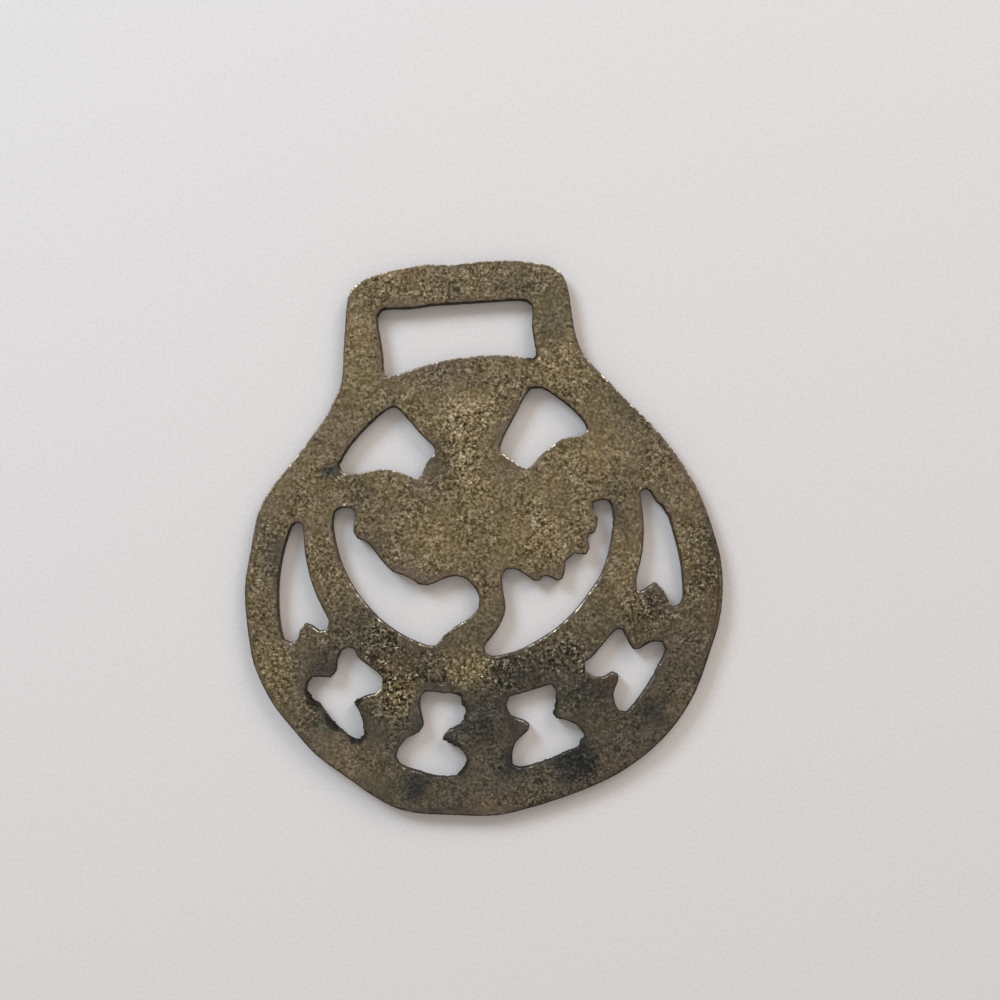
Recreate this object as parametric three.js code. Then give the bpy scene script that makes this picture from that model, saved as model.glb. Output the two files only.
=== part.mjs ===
// Horse brass: a flat cast plate, pierced with a thistle that springs from a crescent.
// The crescent is tied to the round rim by five star-shaped bridges, and a strap loop
// stands on the two shoulders. It is one casting, so it is one solid.
//
// Units are millimetres. The pattern is set out from the middle of the round rim:
// X runs to the right, Y up to the strap loop, and Z up out of the face that shows.
// The plate lies on Z = 0 with the middle of its footprint over the origin.

import * as THREE from 'three';

// ---- Driving sizes ----------------------------------------------------------

const THICKNESS = 2.4;       // gauge of the casting
const EDGE_BREAK = 0.2;      // width and depth of the filed edge on both faces
const CURVE_STEP = 1.2;      // longest straight side left on a curved edge
const ARC_STATION = 4;       // spacing of the stations that carry a circular stretch

// Circles that the pattern is set out from. None of them shares a centre: the brass
// was cut and filed by hand.
const RIM = { x: 0, y: 0, radius: 38 };                   // outside of the round plate
const BAND = { x: -0.7, y: 0.3, radius: 31.6 };           // inside of the rim band
const MOON_BACK = { x: -1.0, y: 7.5, radius: 27.1 };      // outer edge of the crescent
const MOON_BELLY = { x: -1.2, y: 10.2, radius: 22 };      // inner edge of the crescent

// ---- Setting out ------------------------------------------------------------

// A station on a circle, at a bearing in degrees, standing proud of the circle by
// `proud` (less than nothing where the edge was filed back).
function onCircle(circle, bearing, proud = 0) {
  const angle = THREE.MathUtils.degToRad(bearing);
  const radius = circle.radius + proud;
  return [circle.x + radius * Math.cos(angle), circle.y + radius * Math.sin(angle)];
}

// Stations along a circular stretch between two bearings. The edge drifts off the
// true circle evenly, from `proudFrom` to `proudTo`.
function arc(circle, from, to, proudFrom = 0, proudTo = proudFrom) {
  const length = circle.radius * THREE.MathUtils.degToRad(Math.abs(to - from));
  const count = Math.max(1, Math.round(length / ARC_STATION));
  const stations = [];
  for (let i = 0; i <= count; i++) {
    const t = i / count;
    const bearing = THREE.MathUtils.lerp(from, to, t);
    stations.push(onCircle(circle, bearing, THREE.MathUtils.lerp(proudFrom, proudTo, t)));
  }
  return stations;
}

// The edge of the metal: one smooth closed curve through its stations, cut into
// straight sides of about CURVE_STEP with a corner kept at every station.
function smoothEdge(stations) {
  const knots = stations.map(([x, y]) => new THREE.Vector3(x, y, 0));
  const curve = new THREE.CatmullRomCurve3(knots, true, 'centripetal');
  const points = [];
  knots.forEach((knot, i) => {
    const next = knots[(i + 1) % knots.length];
    const sides = Math.max(1, Math.round(knot.distanceTo(next) / CURVE_STEP));
    for (let side = 0; side < sides; side++) {
      const p = curve.getPoint((i + side / sides) / knots.length);
      points.push(new THREE.Vector2(p.x, p.y));
    }
  });
  return points;
}

// ---- Outside edge -----------------------------------------------------------

// How far the round rim stands off its true circle, as [bearing, proud] clockwise from
// the right shoulder. The shoulders and the lower right are filed flat, and the lower
// left is left full.
const RIM_WEAR = [
  [49, -1.3], [40, -1.5], [30, -1.4], [20, -1.0], [10, -0.7], [-1, 0], [-12, 0.1],
  [-21, -0.2], [-34, 0.2], [-46, 0.1], [-58, -0.4], [-66, -0.85], [-75, -1.1],
  [-84, -0.85], [-91, -0.4], [-102, -0.15], [-108, 0.5], [-114, 1.0], [-120, 0.8],
  [-127, 0.4], [-138, 0.7], [-146, 0.7], [-154, 1.1], [-164, 1.1], [-173, 0.5],
  [-182, 0.2], [-190, -0.4], [-200, -0.4], [-205, -0.7], [-210, -1.4], [-217, -2.15],
  [-225, -2.1], [-231, -1.5],
];

// The strap loop, from the left shoulder over the top bar to the right shoulder.
const STRAP_LOOP = [
  [-22.2, 29.9], [-20.95, 32.1], [-20.35, 34.8], [-20, 38], [-19.55, 41.4],
  [-19.1, 44.7], [-18.2, 47.5], [-15.8, 49.1], [-12.7, 50], [-9, 50.5],
  [-5.5, 50.9], [-2.3, 50.5], [1.1, 50.7], [5.1, 50.75], [10.3, 50.2],
  [14.4, 48.95], [15.8, 47.6], [16.5, 45], [16.85, 41], [17.2, 38], [18.2, 35],
  [20.1, 32.4], [22.5, 29.7],
];

const outside = [
  ...RIM_WEAR.map(([bearing, proud]) => onCircle(RIM, bearing, proud)),
  ...STRAP_LOOP,
];

// ---- Openings, each taken clockwise -----------------------------------------

// The slot that the harness strap passes through, arched along its lower side. The
// stations under the top bar lie on one line, so that the strap bears on a true flat.
const STRAP_BAR = 44.15;
const strapSlot = [
  [-13.7, 34.2], [-13.7, 37.2], [-14, 40.2], [-14.15, 43], [-13.5, 43.9], [-9, 43.9],
  [-5.6, STRAP_BAR], [-3.6, STRAP_BAR], [4.8, STRAP_BAR], [6.9, STRAP_BAR],
  [9.7, 43.85], [10.4, 43.2],
  [10.2, 39.8], [10.45, 37], [10.4, 35.2], [9.7, 34.85], [7.2, 35.4],
  [3, 35.75], [-1, 35.7], [-5.1, 35.2], [-10, 34.15], [-12.6, 33.4], [-13.4, 33.5],
];

// The two openings over the leaves, left and right of the thistle's flower.
const leftOfFlower = [
  [-21.75, 19.8], [-20.9, 21.3], [-19.1, 23.5], [-16.2, 26.2], [-13.2, 28.3],
  [-12.3, 28.35], [-10.5, 26.3], [-8.55, 23.7], [-6.5, 21.3], [-6.75, 20.5],
  [-8, 19.3], [-8.9, 17.4], [-9.6, 16.9], [-11.9, 17.95], [-14.9, 18.75],
  [-18.7, 18.45], [-20.6, 18.35], [-21.5, 18.9],
];
const rightOfFlower = [
  [4, 20.9], [4.9, 22.9], [7.1, 26.4], [8.5, 28.8], [9.5, 29.9], [11.1, 29.9],
  [12.85, 28.8], [15.05, 26.9], [16.8, 25], [17.95, 22.9], [17.4, 22.2],
  [15.5, 21.95], [13.7, 21.6], [11.8, 20.4], [9.9, 19], [8.5, 17.5], [7.6, 17.5],
  [5.95, 18.65], [4.1, 20.3],
];

// The opening inside the crescent's left arm, under the left leaf. It ends in a spur
// between the curved stem and the crescent.
const underLeftLeaf = [
  [-23, 12.4], [-22, 12.85], [-20.1, 12.6], [-19.9, 11.6], [-20.2, 10.6],
  [-20.4, 9.1], [-19.8, 7.9], [-18.7, 7.45], [-17.8, 6.6], [-16.2, 4.2],
  [-14.4, 2.1], [-13, 1.6], [-11.2, 0.6], [-10.6, -0.05], [-9, -0.35], [-6.8, 0.4],
  [-4.6, 0.9], [-3.2, 0.5], [-1.9, -0.8], [-1.05, -2.8], [-1.3, -4.4], [-3, -6],
  [-5.6, -7.3], [-7.3, -8.6], [-8.6, -10],
  ...arc(MOON_BELLY, 247, 178, -0.25, 0.2),
];

// The opening inside the crescent's right arm: the lower edge of the right leaf is cut
// into teeth, and the stem bounds it on the left.
const underRightLeaf = [
  [3, 0.7], [3.7, 1.4], [4.8, 1.4], [6.6, 0.3], [7.8, -0.7], [8.8, -0.8],
  [9.3, -0.1], [10.1, -0.15], [11.6, -1], [12.5, -0.8], [13.05, 0.8], [13.2, 2.1],
  [14.6, 3.2], [16.5, 2.9], [17.2, 4], [16.95, 5.4], [17.1, 6.1], [18.1, 6.3],
  [18.8, 8.9], [18.25, 10.1], [18.15, 11.1], [19.4, 11.4], [20.7, 11.1],
  ...arc(MOON_BELLY, -2, -28, 0.3, 0.4),
  ...arc(MOON_BELLY, -38, -66, 0.1, 0.25),
  ...arc(MOON_BELLY, -76, -86, 0.55, 0.45),
  [-0.5, -11.7], [-0.65, -10.7], [0.2, -9.6], [1.7, -7.9], [2.9, -5.8],
  [3.2, -4.6], [3, -2.3], [2.9, -0.4],
];

// The two long slits beside the crescent's arms, each ending on a star bridge below.
const leftSlit = [
  [-29.95, 10.6], [-29.2, 11.05], [-28.4, 10.8],
  ...arc(MOON_BACK, 175, 205, 0.3, 0),
  [-25.2, -4.9], [-25.7, -6.25], [-26.8, -6.3], [-28, -5.3], [-29, -4.9],
  [-29.8, -5.9], [-30.3, -7.35], [-31.3, -8], [-32.5, -7.4],
  ...arc(BAND, 191, 164, 1.1, -0.35),
];
const rightSlit = [
  [25.8, 12.3], [26.6, 12.8], [27.4, 12.2], [28.2, 10.5],
  ...arc(BAND, 17, -9, -0.3, 0.9),
  [31, -5.8], [30, -6.2], [29.1, -5.1], [28.4, -3.3], [27.3, -2.05], [26.2, -2.65],
  [24.9, -3.35], [24.3, -3.4],
  ...arc(MOON_BACK, -20, 8, -0.25, 0),
];

// The four openings under the crescent. Each runs along the crescent's back, round one
// side of a star, along the rim band, and back round the next star.
const lowerLeft = [
  [-23.4, -9.8], [-22.4, -9.3], [-21.5, -9.7],
  ...arc(MOON_BACK, 222.5, 233.5, 0.1, 0.25),
  [-17.5, -15.9], [-18.6, -16.95], [-20.3, -17.05], [-22.2, -18.1], [-21.3, -19.6],
  [-20.85, -21.6], [-21, -23.3], [-21.8, -24.05],
  ...arc(BAND, 226, 217, 1.0, 0.95),
  [-27.3, -18], [-28.3, -17.3], [-29.3, -15.9], [-29.2, -14.7], [-28.3, -13.65],
  [-25.4, -13.95], [-24.5, -13.1], [-24.15, -11.2],
];
const lowerMiddleLeft = [
  [-11.3, -17.9], [-10.5, -17.15], [-8, -17.6], [-5.9, -17.9], [-5, -18.6],
  [-5, -19.7], [-4.35, -20.6], [-5, -22], [-5.7, -22.75], [-7.4, -23.5],
  [-8.55, -24.8], [-7.2, -25.7], [-5.3, -27.1], [-4.95, -28.9], [-6, -30.1],
  [-6.8, -30.9],
  ...arc(BAND, -104, -117, 0.5, 0.65),
  [-15.9, -27.3], [-15.3, -25.8], [-13.8, -24.3], [-11.9, -23.55], [-11.1, -22.6],
  [-11.4, -20.3],
];
const lowerMiddleRight = [
  [2.3, -19.8], [2.8, -18.85],
  ...arc(MOON_BACK, -79, -70, -0.5, -0.3),
  [9.5, -17.35], [10.05, -18.1], [9.9, -20.5], [9.4, -22], [9.9, -22.85],
  [11.3, -23.1], [13.1, -24.1], [14, -25.2], [14.25, -26.1], [13.5, -26.5],
  [13.3, -27.5],
  ...arc(BAND, -67, -82, -0.75, -0.8),
  [2.65, -29.8], [2.7, -28.1], [3.4, -26], [5.5, -24.4], [5.8, -23.5],
  [4.8, -22.7], [2.9, -21.9], [2.4, -20.9],
];
const lowerRight = [
  [15.1, -14.1],
  ...arc(MOON_BACK, -51, -40, 0.1, 0),
  [20.5, -9.3], [21.4, -9.4], [22.1, -11], [22.9, -12.7], [24, -12.7],
  [26, -11.75], [27.6, -11.75], [28.1, -13.1], [26.9, -15.1],
  ...arc(BAND, -32, -43, 0.05, 0.1),
  [21.3, -22.5], [20.2, -22.3], [19.6, -21.1], [19.4, -19.4], [20.3, -17.4],
  [20.4, -16.4], [19.5, -15.9], [18, -16.65], [16.6, -16.65], [15.2, -15.6],
];

const openings = [
  strapSlot, leftOfFlower, rightOfFlower, underLeftLeaf, underRightLeaf,
  leftSlit, rightSlit, lowerLeft, lowerMiddleLeft, lowerMiddleRight, lowerRight,
];

// ---- The casting ------------------------------------------------------------

function agedBrass() {
  return new THREE.MeshStandardMaterial({ color: 0x6f6148, roughness: 0.55, metalness: 0.6 });
}

function makePlate() {
  // The outside runs against the openings, so that the metal lies between them.
  const face = new THREE.Shape(smoothEdge(outside).reverse());
  face.holes = openings.map((stations) => new THREE.Path(smoothEdge(stations)));
  const geometry = new THREE.ExtrudeGeometry(face, {
    depth: THICKNESS - 2 * EDGE_BREAK,
    steps: 1,
    bevelEnabled: true,
    bevelThickness: EDGE_BREAK,
    bevelSize: EDGE_BREAK,
    bevelOffset: -EDGE_BREAK,
    bevelSegments: 1,
  });
  geometry.computeBoundingBox();
  const { min, max } = geometry.boundingBox;
  geometry.translate(-(min.x + max.x) / 2, -(min.y + max.y) / 2, -min.z);
  const plate = new THREE.Mesh(geometry, agedBrass());
  plate.name = 'horse_brass';
  return plate;
}

const brass = new THREE.Group();
brass.add(makePlate());

export default brass;
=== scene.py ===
"""Horse brass: the looks of an old cast brass harness ornament, built round its CAD frame.

The casting is one piece. Its skin starts as the CAD plate, gets a fine even mesh, and is
then given the unevenness of a sand casting that was filed round its edges by hand. Its
finish is a brown patina, worn to dull gold where it was handled and stained near black
low down. The stage is pale paper under soft light from two sides.
"""

import math

import bmesh
import bpy
import numpy as np
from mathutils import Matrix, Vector, kdtree, noise


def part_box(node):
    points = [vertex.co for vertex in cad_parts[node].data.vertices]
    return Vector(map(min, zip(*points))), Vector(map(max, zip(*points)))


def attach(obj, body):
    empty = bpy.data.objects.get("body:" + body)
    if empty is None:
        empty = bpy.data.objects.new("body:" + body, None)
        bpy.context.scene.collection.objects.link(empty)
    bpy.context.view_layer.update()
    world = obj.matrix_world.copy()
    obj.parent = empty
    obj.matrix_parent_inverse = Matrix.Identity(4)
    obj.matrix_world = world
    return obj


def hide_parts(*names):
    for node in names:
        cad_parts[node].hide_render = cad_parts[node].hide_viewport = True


bl_info = {
    "name": "Horse Brass",
    "version": (1, 0, 0),
    "blender": (4, 5, 0),
    "location": "View3D > Sidebar > Horse Brass",
    "description": "Builds the casting of a horse brass, its patina and a plain paper stage",
    "category": "Add Mesh",
}

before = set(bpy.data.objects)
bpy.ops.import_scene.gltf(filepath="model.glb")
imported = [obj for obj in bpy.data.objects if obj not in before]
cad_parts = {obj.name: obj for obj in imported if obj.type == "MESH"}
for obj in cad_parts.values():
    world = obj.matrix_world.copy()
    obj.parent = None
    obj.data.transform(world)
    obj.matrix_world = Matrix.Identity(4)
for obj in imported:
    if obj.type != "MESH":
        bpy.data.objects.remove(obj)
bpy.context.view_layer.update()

PLATE = "horse_brass"                    # the CAD node that the casting stands for
CASTING = "horse_brass_casting"
MM = 0.001                               # places below are in millimetres of the frame

# ---- Where the finish changes over the face --------------
# Each place is (x, y, reach along x, reach along y, amount). The amount fades out
# smoothly to nothing at the reach, and places that overlap add up.

# Lighter than the common tone where handling wore the patina to gold, darker where
# tarnish and dirt were left.
WORN_GOLD = (
    (-1.0, 20.5, 6.5, 6.0, 0.105),       # heart of the flower
    (-2.0, 12.5, 3.6, 8.0, 0.055),       # down the thistle's neck
    (0.0, 7.5, 4.5, 4.5, 0.045),         # where the leaves part
    (-18.0, 33.0, 5.0, 13.0, 0.035),     # left post of the strap loop
    (-12.0, 42.5, 10.0, 4.0, 0.030),
    (14.5, 26.5, 6.0, 6.0, 0.050),       # foot of the right post
    (18.5, 13.0, 8.0, 5.5, 0.040),       # right shoulder
    (12.0, 8.0, 8.0, 5.0, 0.030),
    (-7.0, 0.0, 9.0, 6.0, 0.040),        # left leaf
    (9.0, 0.5, 9.0, 7.0, 0.050),         # right leaf
    (21.5, -8.0, 4.5, 8.0, 0.030),       # right arm of the crescent
    (-3.0, -20.5, 6.0, 5.5, 0.110),      # below the foot of the stem
    (-15.0, -23.5, 6.0, 7.0, 0.118),     # lower left star
    (-34.0, -22.0, 8.0, 15.0, 0.095),    # left side of the rim band
    (-25.0, -34.0, 11.0, 8.0, 0.085),
    (31.0, -29.0, 5.0, 7.0, 0.045),
    (-1.0, -43.5, 7.0, 4.0, 0.085),      # lowest part of the rim
)
TARNISHED = (
    (-3.0, 26.0, 10.0, 3.5, 0.030),      # under the slot
    (-6.5, 12.0, 4.5, 5.0, 0.060),
    (5.0, 11.0, 5.0, 3.5, 0.015),
    (9.0, 40.0, 7.0, 4.5, 0.040),        # right corner of the strap loop
    (14.0, 35.0, 5.0, 8.0, 0.040),
    (-2.5, 40.5, 3.5, 3.0, 0.035),
    (-23.0, 13.2, 2.4, 2.2, 0.150),      # tip of the opening over the left leaf
    (-18.5, 8.5, 4.0, 4.0, 0.055),       # tips of the left leaf
    (-17.5, -1.0, 4.0, 4.0, 0.050),
    (26.5, 19.0, 6.0, 6.0, 0.055),       # right shoulder's edge
    (22.5, 4.0, 3.5, 8.0, 0.072),        # right arm of the crescent
    (37.0, -3.0, 5.0, 12.0, 0.080),      # right side of the rim band
    (-33.0, -1.0, 4.0, 9.0, 0.078),
    (-21.0, -12.0, 6.0, 7.0, 0.050),     # left arm's foot and the star beside it
    (-27.0, -17.5, 6.0, 4.5, 0.075),
    (28.0, -11.5, 4.5, 4.5, 0.060),      # star bridge of the right arm
    (5.0, -22.0, 7.0, 5.0, 0.045),
    (-1.0, -29.0, 8.0, 8.0, 0.045),      # middle star
    (15.5, -25.0, 8.0, 6.0, 0.045),      # lower right star
    (-7.0, -31.5, 3.0, 3.0, 0.050),
    (2.5, -36.0, 3.5, 4.0, 0.125),       # near-black stains along the lower rim
    (12.5, -36.0, 5.5, 4.0, 0.135),
    (-13.0, -38.5, 3.5, 3.0, 0.105),
    (24.5, -29.5, 5.0, 4.5, 0.065),
)

# Towards a reddish brown where the amount is above nothing, towards olive where below.
BROWNING = (
    (-21.0, 18.0, 7.0, 6.0, 0.55),
    (-36.0, 4.0, 6.0, 10.0, 0.50),
    (-4.0, 26.5, 11.0, 3.5, 0.50),
    (-9.0, 10.0, 5.0, 5.0, 0.60),
    (-19.0, 6.0, 5.0, 6.0, 0.45),
    (-13.0, -4.5, 8.0, 3.5, 0.60),
    (27.0, 13.0, 9.0, 7.0, 0.35),
    (33.0, 8.0, 6.0, 10.0, 0.35),
    (6.0, 41.0, 9.0, 5.0, 0.30),
    (-28.0, -16.5, 7.0, 5.5, 0.50),
    (-27.0, -31.0, 15.0, 13.0, 0.45),
    (19.0, -23.5, 8.0, 6.0, 0.75),
    (20.0, -36.0, 12.0, 7.0, 0.65),
    (-3.0, -41.0, 12.0, 5.0, 0.60),
    (30.0, -20.0, 8.0, 9.0, 0.30),
    (-17.0, -21.0, 9.0, 9.0, -0.50),
    (-6.0, -19.0, 10.0, 5.0, -0.45),
    (26.0, -13.0, 6.0, 5.0, -0.45),
    (0.0, 2.0, 14.0, 9.0, -0.30),
    (-37.0, -16.0, 4.0, 7.0, -0.40),
    (37.0, -4.0, 4.0, 10.0, -0.30),
    (-19.0, 30.0, 5.0, 12.0, -0.20),
)

# Where the cast grain stands out more, and where it is nearly smooth.
GRAIN = (
    (-15.0, -22.0, 10.0, 10.0, 0.75),
    (0.0, -19.5, 9.0, 6.0, 0.70),
    (-17.0, -14.0, 8.0, 6.0, 0.60),
    (14.5, -20.0, 8.0, 4.5, 0.75),
    (26.0, -14.0, 7.0, 6.0, 0.70),
    (-20.0, -11.0, 6.0, 6.0, 0.25),
    (12.0, -36.0, 6.0, 5.0, 0.30),
    (6.0, -43.0, 8.0, 4.0, 0.50),
    (-1.0, 15.0, 6.0, 13.0, 0.30),
    (-10.0, 1.0, 12.0, 9.0, 0.20),
    (10.0, 2.0, 10.0, 8.0, 0.15),
    (35.0, -6.0, 6.0, 9.0, 0.35),
    (-36.0, -6.0, 6.0, 10.0, 0.15),
    (-18.0, 29.0, 7.0, 10.0, -0.25),
    (17.0, 15.0, 9.0, 5.0, -0.15),
    (35.0, 8.0, 6.0, 12.0, -0.20),
    (-6.5, 12.0, 4.0, 4.0, -0.30),
    (4.5, 15.0, 3.5, 7.0, -0.40),
    (-20.0, -38.0, 9.0, 6.0, -0.60),
    (-27.0, -32.0, 9.0, 7.0, -0.35),
    (27.0, -32.0, 9.0, 6.0, -0.45),
    (-8.0, -42.0, 9.0, 4.0, -0.30),
)

# Where the grain is pale specks on a darker ground.
SPECKLED = (
    (-14.0, -20.0, 13.0, 11.0, 0.75),
    (4.0, -21.0, 13.0, 8.0, 0.60),
    (16.0, -21.0, 10.0, 9.0, 0.45),
    (26.0, -14.0, 8.0, 8.0, 0.50),
    (-33.0, -20.0, 8.0, 9.0, 0.20),
    (12.0, -36.0, 7.0, 5.0, 0.40),
    (18.0, -30.0, 6.0, 6.0, 0.40),
    (35.0, -6.0, 6.0, 10.0, 0.40),
    (-1.0, -43.5, 9.0, 3.0, 0.45),
)

# Smooth bands of thicker patina along the edges: how wide they are, as a share.
BANDS = (
    (5.2, 15.5, 3.5, 9.0, 0.95),         # right of the thistle's neck
    (-7.5, 14.0, 5.0, 5.5, 0.60),
    (-12.0, -5.5, 11.0, 4.5, 0.70),      # under the left leaf
    (11.0, -6.5, 7.0, 3.5, 0.45),
    (-27.5, -20.0, 5.0, 5.0, 0.80),      # lower left star and its opening
    (-19.0, -29.0, 5.0, 6.0, 0.75),
    (-11.5, -28.5, 4.0, 7.0, 0.85),
    (-8.0, -23.5, 6.0, 3.0, 0.60),
    (0.5, -30.0, 5.0, 8.0, 0.50),
    (15.0, -29.0, 5.0, 6.0, 0.60),
    (19.0, -26.0, 5.0, 7.0, 0.80),
    (-12.0, -16.5, 10.0, 3.5, 0.45),     # belly of the crescent
    (29.5, 4.0, 4.0, 10.0, 0.40),
    (37.0, -10.0, 3.5, 14.0, 0.40),
    (-33.0, 0.0, 4.0, 9.0, 0.35),
    (-5.0, -43.5, 16.0, 3.5, 0.45),
)

# A thin lip along the rim, marked off from the face by a dark reddish line.
LIP = (
    (37.0, -12.0, 4.0, 11.0, 1.00),
    (35.0, 6.0, 5.0, 9.0, 0.45),
    (20.0, -38.0, 12.0, 6.0, 0.30),
)

# Copper showing red through the patina.
REDDENING = (
    (13.7, -4.0, 3.0, 2.2, 0.60),
    (36.6, -13.5, 2.4, 6.0, 0.70),
    (9.2, -1.5, 3.0, 2.0, 0.35),
    (19.5, 8.5, 3.0, 4.0, 0.30),
    (-10.0, 42.5, 6.0, 3.0, 0.22),
    (19.0, -24.0, 4.0, 4.0, 0.28),
    (-15.5, -19.0, 2.5, 2.0, 0.30),
)

# Thin green bloom in corners that hold the damp.
GREENING = (
    (-23.0, 13.2, 1.6, 1.5, 0.50),
    (-6.9, 11.7, 2.0, 2.0, 0.25),
    (-6.3, -34.1, 2.4, 2.0, 0.60),
    (-26.0, -27.5, 4.0, 3.0, 0.45),
    (-20.5, -22.0, 3.0, 3.0, 0.35),
    (-11.5, -29.0, 2.5, 3.0, 0.35),
    (10.5, -27.5, 2.5, 3.5, 0.45),
    (14.5, -32.5, 2.5, 2.5, 0.50),
    (36.0, -14.0, 4.0, 5.0, 0.35),
)

# Edges that were left rough from the mould, with the depth of their bites in mm.
RAGGED = (
    (-28.5, -23.8, 3.2, 3.2, 0.62),
    (-25.0, -27.2, 3.4, 3.4, 0.62),
    (-21.5, -30.4, 3.0, 3.0, 0.55),
    (-21.5, -23.8, 2.4, 2.4, 0.55),
    (-6.8, -32.2, 3.0, 3.0, 0.50),
    (-5.4, -27.0, 2.6, 4.5, 0.50),
    (-5.3, -35.8, 3.0, 3.0, 0.42),
    (9.8, -27.5, 2.6, 3.8, 0.45),
    (14.2, -32.5, 3.4, 3.0, 0.15),
    (-9.0, -36.8, 5.0, 2.2, 0.32),
    (8.0, -35.5, 5.0, 2.2, 0.26),
    (25.5, -21.0, 3.0, 5.0, 0.30),
    (-17.0, -14.5, 8.0, 4.0, 0.24),
    (-6.5, -14.5, 3.0, 3.0, 0.30),
    (10.2, 28.4, 2.0, 1.8, 0.45),
    (-22.0, 12.8, 2.4, 2.4, 0.26),
    (30.0, 3.5, 2.4, 9.0, 0.24),
    (21.5, 4.0, 2.0, 8.0, 0.16),
    (-1.5, 43.8, 12.0, 1.4, 0.14),
)

# Pits and chips in the face: (x, y, radius, depth), all in millimetres.
PITS = (
    (-3.7, -16.9, 0.55, 0.16),
    (-31.7, -14.1, 0.60, 0.14),
    (-6.2, 6.0, 0.40, 0.12),
    (8.4, 33.0, 0.40, 0.10),
    (14.8, 29.5, 0.45, 0.12),
    (27.2, 9.8, 0.40, 0.12),
    (-26.8, 4.6, 0.45, 0.12),
    (11.2, -21.2, 0.60, 0.16),
    (20.6, -30.4, 0.50, 0.14),
    (16.8, -27.0, 0.45, 0.12),
    (-12.4, -24.8, 0.40, 0.14),
    (3.4, -40.2, 0.45, 0.12),
    (-21.0, -35.0, 0.40, 0.10),
)

COMMON_TONE = 0.368          # tone of the patina on the upper part, 0 black and 1 white
LOWER_TONE_DROP = 0.095      # how much darker the lowest part is
DROP_TOP, DROP_FOOT = -3.0, -27.0        # heights between which it darkens
WANDER = 1.6                 # how far the borders of the places wander
WANDER_LENGTH = 4.5
SOOT_TONE, WARM_TONE = 0.165, 0.395      # tones at which the tint is nil and full
BAND_LEAST = 0.28            # width of the smooth bands away from their places
SPECKS_LEAST = 0.22          # the same for the pale specks
BROWN_WARMTH = 0.25          # tint that a browned place keeps, however dark it is
EDGE_REACH = 3.0             # farthest distance from an edge that is stored
ROUGH_FULL = 0.28            # depth of bites that counts as 1 for a sooty edge
ROUGH_LEAST = 0.25           # taken off that count, so shallow bites leave no soot
WALL_TOP = 2.2               # height over the back where the side walls end


# ---- Sizes and colours that a user would change ----------

class BrassShape(bpy.types.PropertyGroup):
    """How fine the casting's skin is and how uneven the founder and the file left it."""
    mesh_step: bpy.props.FloatProperty(
        name="Mesh step", description="Spacing of the casting's mesh",
        default=0.18 * MM, min=0.12 * MM, max=1.0 * MM, precision=5, unit="LENGTH")
    swell_depth: bpy.props.FloatProperty(
        name="Swell depth", description="Depth of the broad hollows of the faces",
        default=0.06 * MM, min=0.0, max=0.3 * MM, precision=5, unit="LENGTH")
    sand_depth: bpy.props.FloatProperty(
        name="Sand depth", description="Depth of the texture left by the moulding sand",
        default=0.10 * MM, min=0.0, max=0.2 * MM, precision=5, unit="LENGTH")
    pit_depth: bpy.props.FloatProperty(
        name="Pit depth", description="Depth of the small casting pits",
        default=0.11 * MM, min=0.0, max=0.3 * MM, precision=5, unit="LENGTH")
    file_depth: bpy.props.FloatProperty(
        name="File depth", description="How far the hand filed edges wander inwards",
        default=0.17 * MM, min=0.0, max=0.3 * MM, precision=5, unit="LENGTH")
    raggedness: bpy.props.FloatProperty(
        name="Raggedness", description="How deep the ragged edges are bitten",
        default=1.3, min=0.0, max=2.0, subtype="FACTOR")
    back_triangles: bpy.props.IntProperty(
        name="Back triangles", description="Triangles kept on the plain back",
        default=14000, min=2000, max=1000000)
    triangles: bpy.props.IntProperty(
        name="Triangles", description="Triangles kept in the finished casting",
        default=192000, min=5000, max=1000000)


class BrassFinish(bpy.types.PropertyGroup):
    """Colours and grain of the patina. Each colour is the one at the middle tone."""
    gold: bpy.props.FloatVectorProperty(
        name="Olive gold", description="Thin patina over brass, worn by handling",
        subtype="COLOR", size=3, min=0.0, max=1.0, default=(0.230, 0.172, 0.090))
    brown: bpy.props.FloatVectorProperty(
        name="Brown patina", description="Thicker, smoother patina",
        subtype="COLOR", size=3, min=0.0, max=1.0, default=(0.226, 0.172, 0.136))
    soot: bpy.props.FloatVectorProperty(
        name="Black stain", description="Deepest tarnish and dirt",
        subtype="COLOR", size=3, min=0.0, max=1.0, default=(0.174, 0.170, 0.162))
    verdigris: bpy.props.FloatVectorProperty(
        name="Verdigris", description="Thin green bloom in the corners of the openings",
        subtype="COLOR", size=3, min=0.0, max=1.0, default=(0.125, 0.172, 0.135))
    copper: bpy.props.FloatVectorProperty(
        name="Copper red", description="Copper that shows through the patina",
        subtype="COLOR", size=3, min=0.0, max=1.0, default=(0.262, 0.150, 0.094))
    grain_size: bpy.props.FloatProperty(
        name="Grain size", description="Spacing of the cast grain",
        default=0.42 * MM, min=0.2 * MM, max=3.0 * MM, precision=5, unit="LENGTH")
    grain_contrast: bpy.props.FloatProperty(
        name="Grain contrast", description="How much lighter and darker the grain is",
        default=1.0, min=0.0, max=3.0, subtype="FACTOR")
    # How bright the worn edges are: partly real wear, partly a painted highlight where they face
    # the lamps.
    edge_wear_and_highlight: bpy.props.FloatProperty(
        name="Edge wear and highlight", description="How bright the rubbed edges are",
        default=0.85, min=0.0, max=1.0, subtype="FACTOR")


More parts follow.
